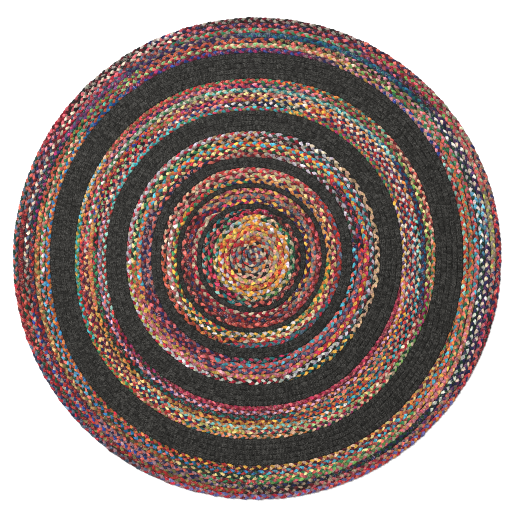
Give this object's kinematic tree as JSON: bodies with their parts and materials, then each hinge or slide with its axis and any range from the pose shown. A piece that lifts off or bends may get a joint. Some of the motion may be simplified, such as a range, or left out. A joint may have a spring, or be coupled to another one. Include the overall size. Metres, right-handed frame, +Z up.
{
  "type": "braided rug",
  "caption": "Round flat rug of coiled three-strand braid, with bands of mixed rag cotton between bands of charcoal jute.",
  "frame": {"origin": "middle of the underside, on the floor", "axes": "+Z up out of the floor; +X to the right and +Y away as the rug is seen from above"},
  "size_m": [1.4996, 1.4796, 0.01],
  "materials": {
    "rag_cotton": "matt plaited strips of cotton rag in many dyes, mostly reds, corals, greens, blues, golds and creams",
    "charcoal_jute": "matt plaited jute yarn, dyed charcoal, with fine pale fibres"
  },
  "bodies": {
    "root": {"braid_01_cotton": "rag_cotton", "braid_02_jute": "charcoal_jute", "braid_03_cotton": "rag_cotton", "braid_04_jute": "charcoal_jute", "braid_05_cotton": "rag_cotton", "braid_06_jute": "charcoal_jute", "braid_07_cotton": "rag_cotton", "braid_08_jute": "charcoal_jute", "braid_09_cotton": "rag_cotton", "braid_10_jute": "charcoal_jute", "braid_11_cotton": "rag_cotton"}
  },
  "joints": []
}
